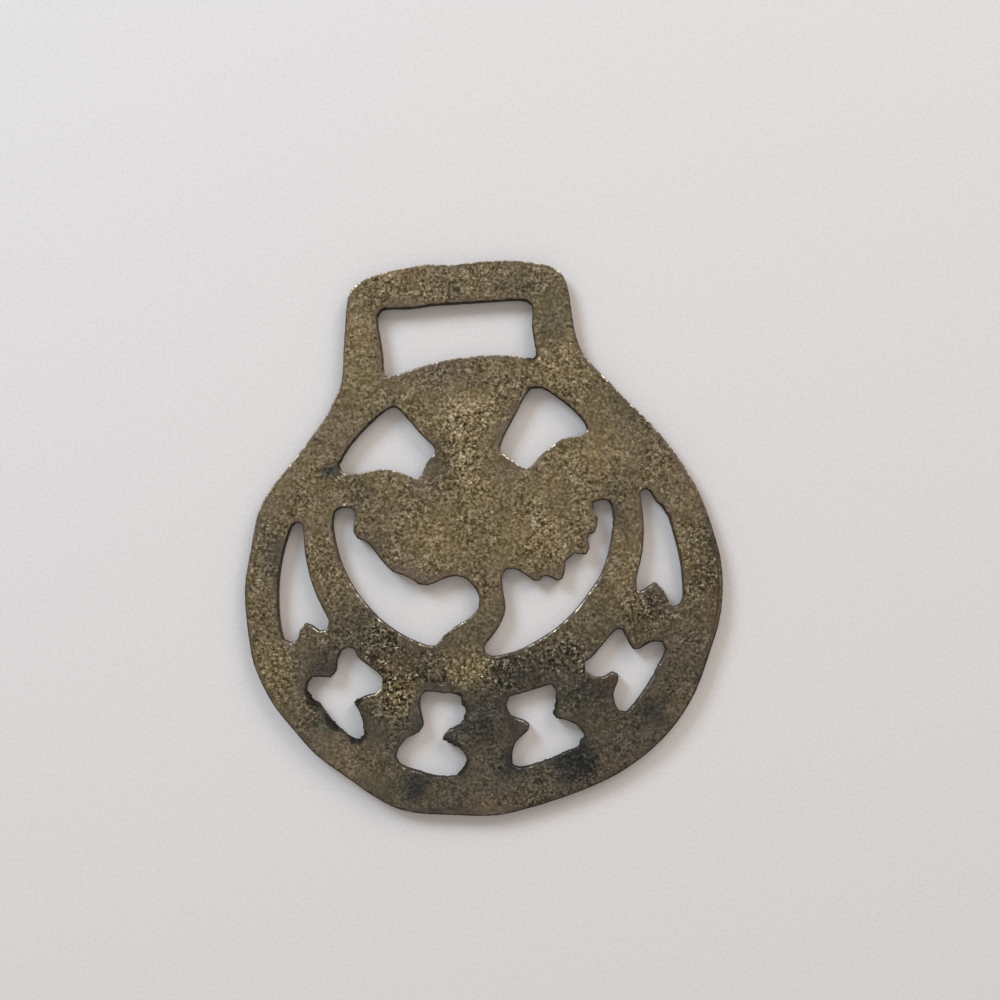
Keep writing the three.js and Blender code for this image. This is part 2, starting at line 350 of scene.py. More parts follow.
class BrassStage(bpy.types.PropertyGroup):
    """The paper, the two soft lamps and the camera."""
    paper: bpy.props.FloatVectorProperty(
        name="Paper", description="Colour of the paper",
        subtype="COLOR", size=3, min=0.0, max=1.0, default=(0.834, 0.797, 0.835))
    cool_power: bpy.props.FloatProperty(
        name="Cool lamp", description="Power of the cool lamp, at the upper left",
        default=4.3, min=0.0, max=500.0, unit="POWER")
    warm_power: bpy.props.FloatProperty(
        name="Warm lamp", description="Power of the warm lamp, at the upper right",
        default=2.75, min=0.0, max=500.0, unit="POWER")
    fill: bpy.props.FloatProperty(
        name="Room light", description="Strength of the even light of the room",
        default=0.475, min=0.0, max=5.0)
    view_width: bpy.props.FloatProperty(
        name="View width", description="Width of the picture at the casting's face",
        default=0.159, min=0.05, max=1.0, unit="LENGTH")
    camera_height: bpy.props.FloatProperty(
        name="Camera height", description="Height of the camera over the casting's face",
        default=0.240, min=0.1, max=2.0, unit="LENGTH")
    turn: bpy.props.FloatProperty(
        name="Turn", description="How far the casting is turned in the picture",
        default=math.radians(3.8), min=-math.pi, max=math.pi, unit="ROTATION")


# ---- Helpers for meshes ----------------------------------

def merged_copy(node, name):
    """An object with a closed copy of a CAD node's mesh, its loose triangles joined."""
    skin = bmesh.new()
    skin.from_mesh(node.data)
    bmesh.ops.remove_doubles(skin, verts=skin.verts, dist=1e-6)
    mesh = bpy.data.meshes.new(name)
    skin.to_mesh(mesh)
    skin.free()
    piece = bpy.data.objects.new(name, mesh)
    bpy.context.scene.collection.objects.link(piece)
    return piece


def apply_modifiers(piece):
    """Turns what the modifiers make into the piece's own mesh."""
    graph = bpy.context.evaluated_depsgraph_get()
    made = bpy.data.meshes.new_from_object(piece.evaluated_get(graph))
    piece.modifiers.clear()
    old, piece.data = piece.data, made
    bpy.data.meshes.remove(old)
    made.name = piece.name


def even_skin(piece, step):
    """Gives a piece an even mesh of quads of about that step."""
    remesh = piece.modifiers.new("Even skin", "REMESH")
    remesh.mode = "VOXEL"
    remesh.voxel_size = step
    apply_modifiers(piece)


def fade(distance):
    """1 at the middle of a place, smoothly down to 0 at its reach."""
    t = np.clip(1.0 - distance, 0.0, 1.0)
    return t * t * (3.0 - 2.0 * t)


def sum_of_places(places, x, y):
    """Adds up the amounts of the places at points x and y, all in millimetres."""
    total = np.zeros_like(x)
    for place_x, place_y, reach_x, reach_y, amount in places:
        total += amount * fade(np.hypot((x - place_x) / reach_x, (y - place_y) / reach_y))
    return total


# ---- The casting -----------------------------------------

SWELL_LENGTH = 11.0          # spacing of the broad hollows
SAND_LENGTHS = (2.2, 1.0, 0.52)          # spacings of the sand texture, coarse to fine
SAND_SHARES = (0.30, 0.35, 0.35)
PIT_LENGTH = 1.1             # spacing of the noise whose highest tops are small pits
PIT_START, PIT_FULL = 0.70, 0.80
FILE_LENGTHS = (3.6, 1.2, 0.55)          # spacings of the marks of the file
FILE_SHARES = (0.40, 0.30, 0.30)
BITE_LENGTHS = (1.1, 0.60)   # spacings of the large and the small bites in ragged edges
BITE_SHARES = (0.55, 0.45)
BITE_START, BITE_FULL = 0.48, 0.54       # noise at which a bite begins and is full depth
BITE_LIMIT = 0.62            # deepest bite, in millimetres
BACK_LIMIT = -0.7            # a normal this far down belongs to the back
WALL_LIMIT = 0.55            # a normal this far from upright belongs to a side wall


def unit_noise(point, length, seed):
    """Smooth noise from 0 to 1 whose bumps are about one length apart."""
    shifted = Vector((point.x / length + seed, point.y / length, point.z / length))
    return 0.5 + 0.5 * noise.noise(shifted)


def face_hollow(point, shape, plain):
    """How deep a face lies below true at a point in millimetres; the back is plain."""
    hollow = shape.swell_depth * unit_noise(point, SWELL_LENGTH, 3.1)
    if plain:
        return hollow
    for length, share in zip(SAND_LENGTHS, SAND_SHARES):
        hollow += shape.sand_depth * share * unit_noise(point, length, 11.7)
    rise = (unit_noise(point, PIT_LENGTH, 37.9) - PIT_START) / (PIT_FULL - PIT_START)
    hollow += shape.pit_depth * min(1.0, max(0.0, rise))
    for pit_x, pit_y, radius, depth in PITS:
        off = math.hypot(point.x - pit_x, point.y - pit_y) / radius
        if off < 1.0:
            hollow += depth * MM * (1.0 - off ** 4)
    return hollow


def edge_hollow(point, shape, ragged):
    """How far an edge lies inside true: marks of the file, and bites where ragged."""
    flat = Vector((point.x, point.y, 0.35 * point.z))
    hollow = 0.0
    for length, share in zip(FILE_LENGTHS, FILE_SHARES):
        hollow += shape.file_depth * share * unit_noise(flat, length, 23.9)
    if ragged > 0.0:
        through = Vector((point.x, point.y, 0.06 * point.z))
        for length, share in zip(BITE_LENGTHS, BITE_SHARES):
            rise = unit_noise(through, length, 57.3) - BITE_START
            hollow += ragged * share * min(1.0, max(0.0, rise / (BITE_FULL - BITE_START)))
    return hollow


def roughen(piece, shape):
    """Moves the skin inwards: sand texture and pits on the faces, file marks on edges."""
    skin = bmesh.new()
    skin.from_mesh(piece.data)
    places = np.array([vert.co[:2] for vert in skin.verts]) / MM
    ragged = np.clip(sum_of_places(RAGGED, places[:, 0], places[:, 1]), 0.0, BITE_LIMIT)
    moves = []
    for vert, rough in zip(skin.verts, (shape.raggedness * ragged).tolist()):
        point = vert.co / MM
        flatness = vert.normal.z * vert.normal.z
        depth = (flatness * face_hollow(point, shape, vert.normal.z < 0.0)
                 + (1.0 - flatness) * edge_hollow(point, shape, rough * MM))
        moves.append(-depth * vert.normal)
    for vert, move in zip(skin.verts, moves):
        vert.co += move
    skin.to_mesh(piece.data)
    skin.free()


def decimate(piece, kept, group=""):
    """Takes triangles off a piece, or off a vertex group of it, until `kept` are left."""
    total = sum(len(face.vertices) - 2 for face in piece.data.polygons)
    thin = piece.modifiers.new("Thin", "DECIMATE")
    thin.ratio = min(1.0, kept / total)
    thin.vertex_group = group
    apply_modifiers(piece)


def thin_skin(piece, shape):
    """Thins the plain back first, and then the whole skin where it is smoothest."""
    normals = np.zeros(len(piece.data.vertices) * 3, np.float32)
    piece.data.vertices.foreach_get("normal", normals)
    on_back = np.flatnonzero(normals[2::3] < BACK_LIMIT)
    back = piece.vertex_groups.new(name="Back")
    back.add([int(i) for i in on_back], 1.0, "REPLACE")
    total = sum(len(face.vertices) - 2 for face in piece.data.polygons)
    decimate(piece, total - 2 * len(on_back) + shape.back_triangles, back.name)
    piece.vertex_groups.clear()
    decimate(piece, shape.triangles)


def store(mesh, name, values):
    """Keeps one number for each point of a mesh under a name that its material reads."""
    layer = mesh.attributes.new(name, "FLOAT", "POINT")
    layer.data.foreach_set("value", np.ascontiguousarray(values, np.float32))


def nearest_edges(mesh, points, reach):
    """For each point, the distance in millimetres to the nearest side wall, up to a
    reach, and how far that wall faces towards the strap loop, from -1 to 1."""
    normals = np.zeros(len(mesh.vertices) * 3, np.float32)
    mesh.vertices.foreach_get("normal", normals)
    normals = normals.reshape(-1, 3)
    walls = np.flatnonzero(np.abs(normals[:, 2]) < WALL_LIMIT)
    tree = kdtree.KDTree(len(walls))
    for i in walls:
        tree.insert((points[i, 0], points[i, 1], 0.0), int(i))
    tree.balance()
    found = [tree.find((x, y, 0.0)) for x, y in points[:, :2]]
    distances = np.minimum(reach, [near[2] for near in found])
    return distances, normals[[near[1] for near in found], 1]


def mark_finish(piece):
    """Stores how light, warm, brown, green and grainy the patina is, and the edges."""
    mesh = piece.data
    points = np.zeros(len(mesh.vertices) * 3, np.float32)
    mesh.vertices.foreach_get("co", points)
    points = points.reshape(-1, 3) / MM
    wander = [noise.noise_vector(Vector(p) / WANDER_LENGTH) for p in points]
    wander = np.array([(w.x, w.y) for w in wander]) * WANDER
    x = points[:, 0] + wander[:, 0]
    y = points[:, 1] + wander[:, 1]
    lower = fade(np.clip((y - DROP_FOOT) / (DROP_TOP - DROP_FOOT), 0.0, 1.0))
    tone = COMMON_TONE - LOWER_TONE_DROP * lower
    tone += sum_of_places(WORN_GOLD, x, y) - sum_of_places(TARNISHED, x, y)
    browning = sum_of_places(BROWNING, x, y)
    warmth = (tone - SOOT_TONE) / (WARM_TONE - SOOT_TONE)
    warmth += BROWN_WARMTH * np.maximum(browning, 0.0)
    rough = sum_of_places(RAGGED, points[:, 0], points[:, 1]) / ROUGH_FULL
    rough = np.clip(rough - ROUGH_LEAST, 0.0, 1.0)
    distances, facing = nearest_edges(mesh, points, EDGE_REACH)
    for name, values in (
            ("tone", tone), ("warmth", warmth), ("browning", browning),
            ("grain", sum_of_places(GRAIN, x, y)),
            ("specks", SPECKS_LEAST + sum_of_places(SPECKLED, x, y)),
            ("greening", sum_of_places(GREENING, x, y)),
            ("banding", BAND_LEAST + sum_of_places(BANDS, x, y)),
            ("lip", sum_of_places(LIP, x, y)), ("reddening", sum_of_places(REDDENING, x, y)),
            ("rough_edge", rough), ("edge_distance", distances), ("edge_facing", facing)):
        store(mesh, name, values)


# ---- Node helpers ----------------------------------------

def new_group(name, inputs, outputs):
    """A shader node group with named float, vector and colour sockets."""
    group = bpy.data.node_groups.new(name, "ShaderNodeTree")
    kinds = {"float": "NodeSocketFloat", "vector": "NodeSocketVector",
             "color": "NodeSocketColor"}
    for label, kind, default in inputs:
        socket = group.interface.new_socket(name=label, in_out="INPUT",
                                            socket_type=kinds[kind])
        if default is not None:
            socket.default_value = default
    for label, kind in outputs:
        group.interface.new_socket(name=label, in_out="OUTPUT", socket_type=kinds[kind])
    start = group.nodes.new("NodeGroupInput")
    end = group.nodes.new("NodeGroupOutput")
    return group, start, end


def plug(tree, socket, source):
    """Links a source to a socket, or sets the socket where the source is a value."""
    if isinstance(source, bpy.types.NodeSocket):
        tree.links.new(source, socket)
    elif source is not None:
        socket.default_value = source


def math_node(tree, operation, a, b=None, c=None, clamp=False):
    """The result of a math node whose inputs are sockets or numbers."""
    node = tree.nodes.new("ShaderNodeMath")
    node.operation = operation
    node.use_clamp = clamp
    for socket, source in zip(node.inputs, (a, b, c)):
        plug(tree, socket, source)
    return node.outputs["Value"]


def map_range(tree, value, low, high, to_low=0.0, to_high=1.0, smooth=True):
    """A value carried from one range to another and held inside it."""
    node = tree.nodes.new("ShaderNodeMapRange")
    node.interpolation_type = "SMOOTHSTEP" if smooth else "LINEAR"
    node.clamp = True
    plug(tree, node.inputs["Value"], value)
    for label, source in (("From Min", low), ("From Max", high),
                          ("To Min", to_low), ("To Max", to_high)):
        plug(tree, node.inputs[label], source)
    return node.outputs["Result"]


def noise_node(tree, vector, scale, detail=2.0, roughness=0.5, distortion=0.0):
    """The value of a noise texture, about 0.5 in the mean."""
    node = tree.nodes.new("ShaderNodeTexNoise")
    plug(tree, node.inputs["Vector"], vector)
    plug(tree, node.inputs["Scale"], scale)
    plug(tree, node.inputs["Detail"], detail)
    plug(tree, node.inputs["Roughness"], roughness)
    plug(tree, node.inputs["Distortion"], distortion)
    return node.outputs["Fac"]


def mix_colors(tree, factor, a, b):
    """Two colours mixed by a factor from 0 to 1."""
    node = tree.nodes.new("ShaderNodeMix")
    node.data_type = "RGBA"
    first, second = [socket for socket in node.inputs if socket.type == "RGBA"]
    plug(tree, node.inputs["Factor"], factor)
    plug(tree, first, a)
    plug(tree, second, b)
    return [socket for socket in node.outputs if socket.type == "RGBA"][0]


def mix_values(tree, factor, a, b):
    """Two values mixed by a factor from 0 to 1."""
    node = tree.nodes.new("ShaderNodeMix")
    node.data_type = "FLOAT"
    for label, source in (("Factor", factor), ("A", a), ("B", b)):
        plug(tree, node.inputs[label], source)
    return node.outputs["Result"]


def attribute(tree, name):
    """The number that the mesh keeps under that name."""
    node = tree.nodes.new("ShaderNodeAttribute")
    node.attribute_name = name
    return node.outputs["Fac"]


def place_group(tree, group, **sources):
    """A group node with its inputs plugged; underscores stand for spaces."""
    node = tree.nodes.new("ShaderNodeGroup")
    node.node_tree = group
    for label, source in sources.items():
        plug(tree, node.inputs[label.replace("_", " ")], source)
    return node.outputs


def empty_material(name):
    """A material with only its output and a Principled shader."""
    material = bpy.data.materials.new(name)
    material.use_nodes = True
    tree = material.node_tree
    tree.nodes.clear()
    output = tree.nodes.new("ShaderNodeOutputMaterial")
    shader = tree.nodes.new("ShaderNodeBsdfPrincipled")
    tree.links.new(shader.outputs["BSDF"], output.inputs["Surface"])
    return material, tree, shader


def object_millimetres(tree):
    """Object coordinates in millimetres."""
    coordinates = tree.nodes.new("ShaderNodeTexCoord")
    scale = tree.nodes.new("ShaderNodeMapping")
    scale.inputs["Scale"].default_value = (1 / MM, 1 / MM, 1 / MM)
    tree.links.new(coordinates.outputs["Object"], scale.inputs["Vector"])
    return scale.outputs["Vector"]


# ---- Shared effects --------------------------------------

def shifted(tree, vector, offset):
    """A vector moved aside, so that a second noise differs from the first."""
    node = tree.nodes.new("ShaderNodeVectorMath")
    node.operation = "ADD"
    node.inputs[1].default_value = offset
    tree.links.new(vector, node.inputs[0])
    return node.outputs["Vector"]


def grain_group():
    """Cast grain: Grit is fine and even, Worms are short pale ridges, Pores are dark."""
    group, start, end = new_group(
        "Cast grain",
        [("Vector", "vector", None), ("Size", "float", 0.42)],
        [("Grit", "float"), ("Worms", "float"), ("Flecks", "float"), ("Pores", "float"),
         ("Height", "float")])
    scale = math_node(group, "DIVIDE", 1.0, start.outputs["Size"])
    vector = start.outputs["Vector"]
    fine = noise_node(group, vector, scale, detail=1.0, roughness=0.5)
    winding = noise_node(group, shifted(group, vector, (7.0, 3.0, 1.0)),
                         math_node(group, "MULTIPLY", scale, 0.60), detail=0.6,
                         roughness=0.4, distortion=0.7)
    off_line = math_node(group, "ABSOLUTE", math_node(group, "SUBTRACT", winding, 0.5))
    ridge = map_range(group, off_line, 0.010, 0.080, 1.0, 0.0)
    ridge = math_node(group, "MULTIPLY", ridge, map_range(group, fine, 0.40, 0.54, 0.25, 1.0))
    patches = noise_node(group, shifted(group, vector, (19.0, 5.0, 2.0)),
                         math_node(group, "MULTIPLY", scale, 0.45), detail=1.0)
    worms = math_node(group, "MULTIPLY", ridge, map_range(group, patches, 0.42, 0.56))
    clusters = noise_node(group, shifted(group, vector, (31.0, 8.0, 5.0)),
                          math_node(group, "MULTIPLY", scale, 0.16), detail=2.0)
    flecks = math_node(group, "MULTIPLY", ridge, map_range(group, clusters, 0.58, 0.66))
    pores = noise_node(group, shifted(group, vector, (3.0, 29.0, 4.0)),
                       math_node(group, "MULTIPLY", scale, 0.55), detail=1.0)
    height = math_node(group, "MULTIPLY_ADD", worms, 0.25, fine)
    for label, source in (
            ("Grit", math_node(group, "MULTIPLY_ADD", fine, 7.0, -3.5)),
            ("Worms", worms), ("Flecks", flecks), ("Pores", map_range(group, pores, 0.58, 0.68)),
            ("Height", height)):
        group.links.new(source, end.inputs[label])
    return group


def mottle_group():
    """Slow unevenness of the patina in tone, in hue and in how smooth it lies."""
    group, start, end = new_group(
        "Patina mottling",
        [("Vector", "vector", None), ("Size", "float", 3.0)],
        [("Tone", "float"), ("Hue", "float"), ("Smooth", "float")])
    scale = math_node(group, "DIVIDE", 1.0, start.outputs["Size"])
    vector = start.outputs["Vector"]
    tone = noise_node(group, vector, scale, detail=4.0, roughness=0.65)
    hue = noise_node(group, shifted(group, vector, (41.0, 17.0, 5.0)), scale, detail=3.0)
    smooth = noise_node(group, shifted(group, vector, (23.0, 37.0, 8.0)),
                        math_node(group, "MULTIPLY", scale, 0.45), detail=3.0)
    group.links.new(map_range(group, smooth, 0.42, 0.62), end.inputs["Smooth"])
    group.links.new(math_node(group, "MULTIPLY_ADD", tone, 6.0, -3.0), end.inputs["Tone"])
    group.links.new(math_node(group, "MULTIPLY_ADD", hue, 4.0, -2.0), end.inputs["Hue"])
    return group


BAND_BORDER = 0.60           # where the border of the band starts, as a share of its width
RUBBED_ARRIS = 0.5           # how far down a side wall its worn upper edge, with the painted highlight, reaches
WALL_DIRT = 0.55             # dirt on the walls below that edge, whichever way they face
LEAST_AWAY_SHADE = 0.50            # share of the painted shade on edges that face neither way
ROUGH_DIRT = 0.30            # how much farther in the dirt reaches at a ragged edge
RUBBED_HIGHLIGHT_LINE = (0.04, 0.28)   # distances at which the worn line, partly painted highlight, is full and is gone
GROOVE_PLACE = 0.68          # distance from the edge to the groove inside a lip
GROOVE_SIDES = (0.06, 0.26)  # distances off the groove at which it is full and is gone


def edge_group():
    """Edge effects by distance from the edge: a smooth band of tarnish with a broken
    border; a dark line, grime on the walls and ragged edges and painted shade on the edges
    that face away from the loop and the lamps beyond it; a pale worn line on those that face
    the loop, partly real wear and partly painted highlight; and the groove inside a lip."""
    group, start, end = new_group(
        "Edge tarnish, shade and highlight",
        [("Vector", "vector", None), ("Distance", "float", EDGE_REACH),
         ("Facing", "float", 0.0), ("Width", "float", 1.2), ("Rough", "float", 0.0)],
        [("Band", "float"), ("Dirt and shade", "float"), ("Wear and highlight", "float"), ("Groove", "float")])
    vector, distance = start.outputs["Vector"], start.outputs["Distance"]
    facing, rough = start.outputs["Facing"], start.outputs["Rough"]

    uneven = noise_node(group, vector, 0.45, detail=4.0, roughness=0.65)
    width = math_node(group, "MULTIPLY", start.outputs["Width"],
                      map_range(group, uneven, 0.38, 0.60, 0.30, 1.5))
    inner = math_node(group, "MULTIPLY", width, BAND_BORDER)
    band = map_range(group, distance, inner, width, 1.0, 0.0)

    # Edges facing the loop face the lamps beyond it; those facing away are darkened as painted
    # shade.
    toward = map_range(group, facing, 0.10, 0.60)
    away = math_node(group, "MULTIPLY", math_node(group, "SUBTRACT", 1.0, toward),
                     map_range(group, facing, -0.80, 0.20, 1.0, LEAST_AWAY_SHADE))
    split = group.nodes.new("ShaderNodeSeparateXYZ")
    group.links.new(vector, split.inputs["Vector"])
    arris = map_range(group, split.outputs["Z"], WALL_TOP - RUBBED_ARRIS, WALL_TOP)
    below = math_node(group, "MULTIPLY_ADD", arris, -WALL_DIRT, WALL_DIRT)
    # The dark line: painted shade on edges facing away from the lamps, dirt on the walls, soot
    # at ragged edges.
    soot_and_shade = math_node(group, "MAXIMUM", math_node(group, "MAXIMUM", away, below), rough)
    breaks = noise_node(group, shifted(group, vector, (11.0, 2.0, 9.0)), 0.9, detail=3.0)
    reach = map_range(group, breaks, 0.36, 0.62, 0.14, 0.38)
    reach = math_node(group, "MULTIPLY_ADD", rough, ROUGH_DIRT, reach)
    dirt_and_shade = math_node(group, "MULTIPLY", soot_and_shade,
                     map_range(group, distance, 0.08, reach, 1.0, 0.0))

    gaps = noise_node(group, shifted(group, vector, (2.0, 13.0, 6.0)), 0.8, detail=3.0)
    # Pale worn line on upper edges facing the loop, and so the lamps: partly real wear, partly
    # painted highlight.
    line = map_range(group, distance, *RUBBED_HIGHLIGHT_LINE, 1.0, 0.0)
    wear_and_highlight = math_node(group, "MULTIPLY", math_node(group, "MULTIPLY", line, toward),
                       map_range(group, gaps, 0.42, 0.56, 0.10, 1.0))
    wear_and_highlight = math_node(group, "MULTIPLY", wear_and_highlight, arris)
    wear_and_highlight = math_node(group, "MULTIPLY", wear_and_highlight, math_node(group, "SUBTRACT", 1.0, rough))

    off_groove = math_node(group, "ABSOLUTE",
                           math_node(group, "SUBTRACT", distance, GROOVE_PLACE))
    groove = map_range(group, off_groove, *GROOVE_SIDES, 1.0, 0.0)
    for label, source in (("Band", band), ("Dirt and shade", dirt_and_shade), ("Wear and highlight", wear_and_highlight),
                          ("Groove", groove)):
        group.links.new(source, end.inputs[label])
    return group


# ---- Materials -------------------------------------------

MIDDLE = 0.40                # tone at which a patina colour is the one in the settings
TONES = (0.04, 0.12, 0.20, 0.30, 0.40, 0.52, 0.66, 0.85)
TINT_FADE = 0.22             # tone below which the tint fades out

MOTTLE_SIZE = 2.6            # millimetres between the patches of the mottling
BAND_WIDTH = 2.1             # width in millimetres of a band whose share is 1
BAND_GRAIN = -0.62           # what a band takes off the grain
SMOOTH_GRAIN = (-0.50, 1.18)             # what a smooth patch takes off, and from how much
SPECK_GRIT = -0.30           # what pale specks take off the fine grit
SPECK_PORES = (-0.80, -0.15)             # what specks add to the pores, and their depth
WORM_SWING = (3.6, -0.75)    # what a worm adds, and the darker ground it lies on
GRAIN_SWING = 0.29           # how far the grain moves the tone, as a share of it

MOTTLE_SWING = 0.027         # how far the mottling moves the tone
BAND_DARKER = -0.030
FLECK_LIGHTER = 0.13
GROOVE_TONE, GROOVE_COVER = 0.17, 0.75
# Tone of the dark edge line: grime, with painted shade on edges facing away from the lamps.
DIRT_AND_SHADE_TONE, DIRT_AND_SHADE_GRIT, DIRT_AND_SHADE_COVER = 0.10, 0.03, 0.90
# Tone of the pale worn line: metal showing through, lightened as a painted highlight.
BARE_HIGHLIGHT_TONE, BARE_HIGHLIGHT_GRIT = 0.86, 0.14
RUBBED_HIGHLIGHT_LEAST = (0.30, 0.35)  # wear and painted highlight left between the grains, and where the patina is dark

MOTTLE_BROWN, BAND_BROWN, COMMON_BROWN = 0.38, 0.50, 0.10
MOTTLE_WARMTH = 0.06
GROOVE_RED = 0.7

DULL_TONE, BRIGHT_TONE = 0.25, 0.65      # tones between which the surface turns to metal
METALLIC = (0.15, 0.75)
ROUGHNESS = (0.72, 0.42)
RUBBED_ROUGHNESS = 0.30
BUMP_DEPTH = 0.14 * MM


def to_display(color):
    """A linear colour as the eye sees its steps."""
    return [12.92 * c if c < 0.0031308 else 1.055 * c ** (1 / 2.4) - 0.055 for c in color]


def to_linear(color):
    """The inverse of to_display."""
    return [c / 12.92 if c < 0.04045 else ((c + 0.055) / 1.055) ** 2.4 for c in color]


def shades(tree, tone, color):
    """The shades of a colour by tone: the tint stays while the lightness changes."""
    seen = to_display(color)
    ramp = tree.nodes.new("ShaderNodeValToRGB")
    tree.links.new(tone, ramp.inputs["Fac"])
    elements = ramp.color_ramp.elements
    elements[0].position, elements[1].position = TONES[0], TONES[-1]
    for position in TONES[1:-1]:
        elements.new(position)
    for element, position in zip(elements, TONES):
        tint = min(1.0, position / TINT_FADE)
        shade = [max(0.004, seen[1] * position / MIDDLE + tint * (c - seen[1])) for c in seen]
        element.color = (*to_linear(shade), 1.0)
    return ramp.outputs["Color"]


def grain_strength(tree, edge, mottle):
    """How strong the grain is: as its places say, less in bands and smooth patches."""
    strength = math_node(tree, "ADD", attribute(tree, "grain"), 1.0)
    strength = math_node(tree, "MULTIPLY", strength,
                         math_node(tree, "MULTIPLY_ADD", edge["Band"], BAND_GRAIN, 1.0))
    return math_node(tree, "MULTIPLY", strength,
                     math_node(tree, "MULTIPLY_ADD", mottle["Smooth"], *SMOOTH_GRAIN))


def grain_swing(tree, grain, strength, speckled, contrast):
    """How much lighter or darker the grain is, as a share of the tone."""
    grit = math_node(tree, "MULTIPLY", grain["Grit"],
                     math_node(tree, "MULTIPLY_ADD", speckled, SPECK_GRIT, 1.0))
    worms = math_node(tree, "MULTIPLY_ADD", grain["Worms"], *WORM_SWING)
    swing = math_node(tree, "MULTIPLY_ADD", worms, speckled, grit)
    pores = math_node(tree, "MULTIPLY", grain["Pores"],
                      math_node(tree, "MULTIPLY_ADD", speckled, *SPECK_PORES))
    swing = math_node(tree, "ADD", swing, pores)
    swing = math_node(tree, "MULTIPLY", swing, strength)
    return math_node(tree, "MULTIPLY", swing, GRAIN_SWING * contrast)


def rubbed_metal_and_highlight(tree, grain, edge):
    """How far the edges are worn to metal and lit by a painted highlight where they face the
    lamps: most on the grains and where the patina is light.
    """
    wear_and_highlight = math_node(tree, "MULTIPLY", edge["Wear and highlight"],
                       map_range(tree, grain["Grit"], -1.0, 0.8, RUBBED_HIGHLIGHT_LEAST[0], 1.0))
    return math_node(tree, "MULTIPLY", wear_and_highlight,
                     map_range(tree, attribute(tree, "tone"), 0.20, 0.36,
                               RUBBED_HIGHLIGHT_LEAST[1], 1.0))


def face_tone(tree, grain, mottle, edge, swing, speckled):
    """The tone of the face: the places, slow mottling and the grain."""
    tone = math_node(tree, "MULTIPLY_ADD", mottle["Tone"], MOTTLE_SWING,
                     attribute(tree, "tone"))
    tone = math_node(tree, "MULTIPLY_ADD", edge["Band"], BAND_DARKER, tone)
    tone = math_node(tree, "MULTIPLY_ADD", swing, tone, tone)
    flecks = math_node(tree, "MULTIPLY", grain["Flecks"], speckled)
    return math_node(tree, "MULTIPLY_ADD", flecks, FLECK_LIGHTER, tone, clamp=True)


def edge_tone(tree, tone, grain, edge, groove, bareness_and_highlight):
    """The tone with what happens at the edges: the groove, a dark line of grime and painted
    shade, and a pale line of worn metal and painted highlight.
    """
    tone = mix_values(tree, math_node(tree, "MULTIPLY", groove, GROOVE_COVER), tone,
                      GROOVE_TONE)
    # The dark line of grime and painted shade.
    dirt_and_shade_tone = math_node(tree, "MULTIPLY_ADD", grain["Grit"], DIRT_AND_SHADE_GRIT, DIRT_AND_SHADE_TONE)
    tone = mix_values(tree, math_node(tree, "MULTIPLY", edge["Dirt and shade"], DIRT_AND_SHADE_COVER), tone,
                      dirt_and_shade_tone)
    bare_and_highlight = math_node(tree, "MULTIPLY_ADD", grain["Grit"], BARE_HIGHLIGHT_GRIT, BARE_HIGHLIGHT_TONE)
    return mix_values(tree, bareness_and_highlight, tone, bare_and_highlight)


def patina_color(tree, finish, tone, mottle, edge, groove):
    """The tint: gold to brown, less of either where it is sooty, then green and red."""
    browning = math_node(tree, "MULTIPLY_ADD", mottle["Hue"], MOTTLE_BROWN,
                         attribute(tree, "browning"))
    browning = math_node(tree, "MULTIPLY_ADD", edge["Band"], BAND_BROWN, browning)
    browning = math_node(tree, "ADD", browning, COMMON_BROWN, clamp=True)
    warmth = math_node(tree, "MULTIPLY_ADD", mottle["Hue"], MOTTLE_WARMTH,
                       attribute(tree, "warmth"), clamp=True)
    color = mix_colors(tree, browning, shades(tree, tone, finish.gold),
                       shades(tree, tone, finish.brown))
    color = mix_colors(tree, warmth, shades(tree, tone, finish.soot), color)
    green = math_node(tree, "MULTIPLY", attribute(tree, "greening"),
                      map_range(tree, mottle["Hue"], -0.5, 0.5), clamp=True)
    color = mix_colors(tree, green, color, shades(tree, tone, finish.verdigris))
    red = math_node(tree, "MULTIPLY", attribute(tree, "reddening"),
                    map_range(tree, mottle["Hue"], -0.6, 0.4))
    red = math_node(tree, "MULTIPLY_ADD", groove, GROOVE_RED, red, clamp=True)
    return mix_colors(tree, red, color, shades(tree, tone, finish.copper))


